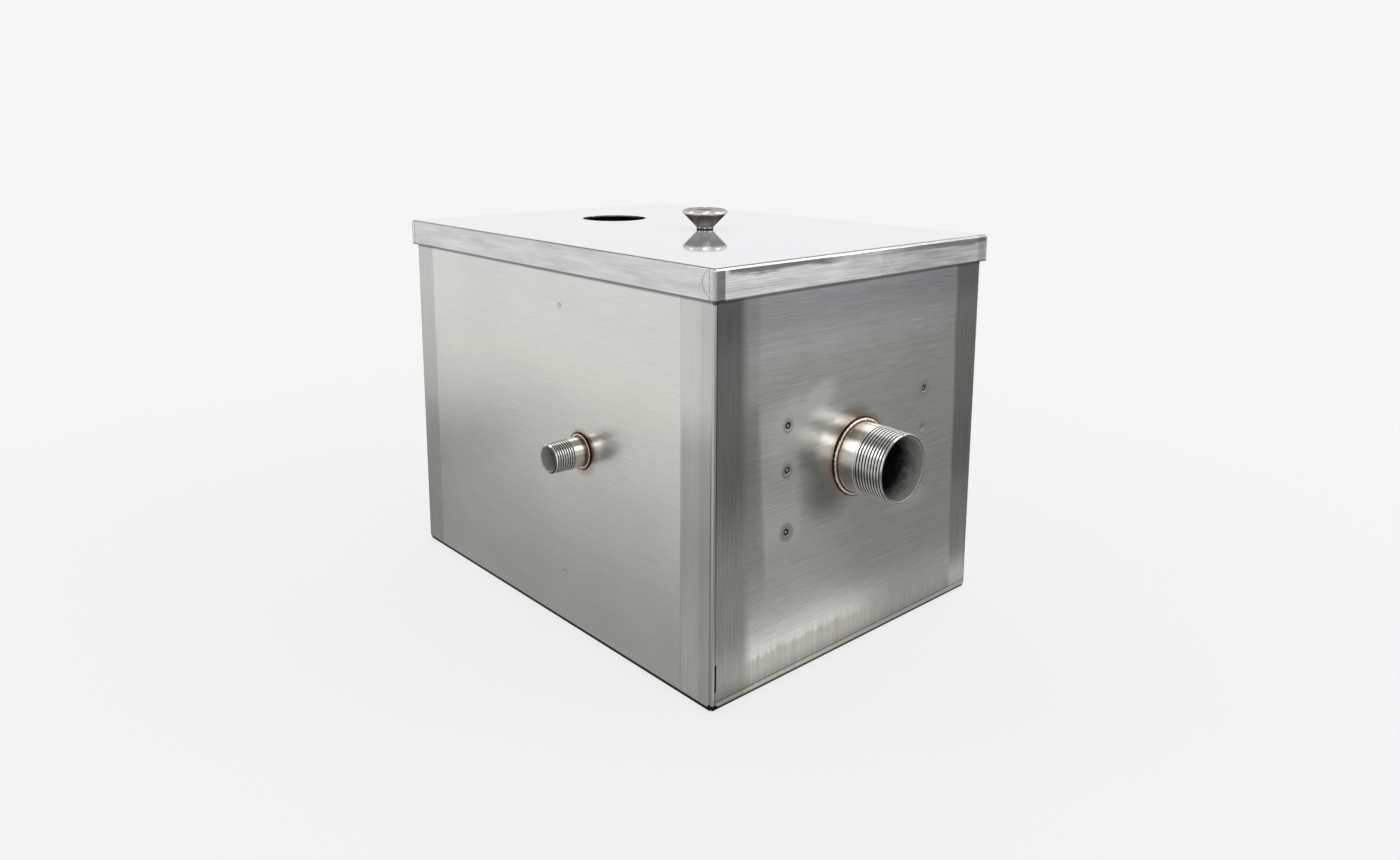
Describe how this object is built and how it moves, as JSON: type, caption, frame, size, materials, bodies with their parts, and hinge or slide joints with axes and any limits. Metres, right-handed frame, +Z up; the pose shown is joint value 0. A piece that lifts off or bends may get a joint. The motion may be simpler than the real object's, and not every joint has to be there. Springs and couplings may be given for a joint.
{
  "type": "grease trap",
  "caption": "Small under-sink grease trap: welded stainless box, lift-off lid with waste inlet hole and knob, strainer basket, baffle, hooded threaded outlet and fat draw-off nipple.",
  "frame": {"origin": "centre of the flat base, on the surface that the trap stands on", "axes": "+X out through the outlet nipple, -Y out through the draw-off nipple, +Z up through the lid"},
  "size_m": [0.3997, 0.2956, 0.2908],
  "materials": {
    "sheet_steel": "brushed",
    "weld_metal": "satin",
    "pipe_steel": "machined",
    "basket_steel": "satin",
    "knob_chrome": "polished",
    "fastener_steel": "bright"
  },
  "bodies": {
    "tank": {"folded_shell": "sheet_steel", "draw_off_side_wall": "sheet_steel", "plain_side_wall": "sheet_steel", "draw_off_side_seam_weld": "weld_metal", "plain_side_seam_weld": "weld_metal", "outlet_nipple": "pipe_steel", "outlet_weld": "weld_metal", "draw_off_nipple": "pipe_steel", "draw_off_weld": "weld_metal", "baffle_plate": "sheet_steel", "baffle_plug_welds": "weld_metal", "outlet_hood": "sheet_steel", "hood_plug_welds": "weld_metal", "inlet_end_ledge": "sheet_steel", "baffle_ledge": "sheet_steel", "ledge_plug_welds": "weld_metal"},
    "basket": {"strainer_basket": "basket_steel", "basket_rim": "basket_steel", "basket_ears": "basket_steel"},
    "lid": {"lid_sheet": "sheet_steel", "lid_corner_welds": "weld_metal", "lid_knob": "knob_chrome", "knob_washer": "fastener_steel", "knob_screw": "fastener_steel"},
    "handle": {"basket_handle": "basket_steel"}
  },
  "joints": [
    {"name": "basket_lift", "type": "slide", "parent": "tank", "child": "basket", "axis": [0, 0, 1], "range_m": [0, 0.2]},
    {"name": "lid_lift", "type": "slide", "parent": "basket", "child": "lid", "axis": [0, 0, 1], "range_m": [0, 0.12]},
    {"name": "handle_swing", "type": "hinge", "parent": "basket", "child": "handle", "pos_m": [-0.0814, 0, 0.2036], "axis": [0, 1, 0], "range_deg": [0, 180]}
  ]
}
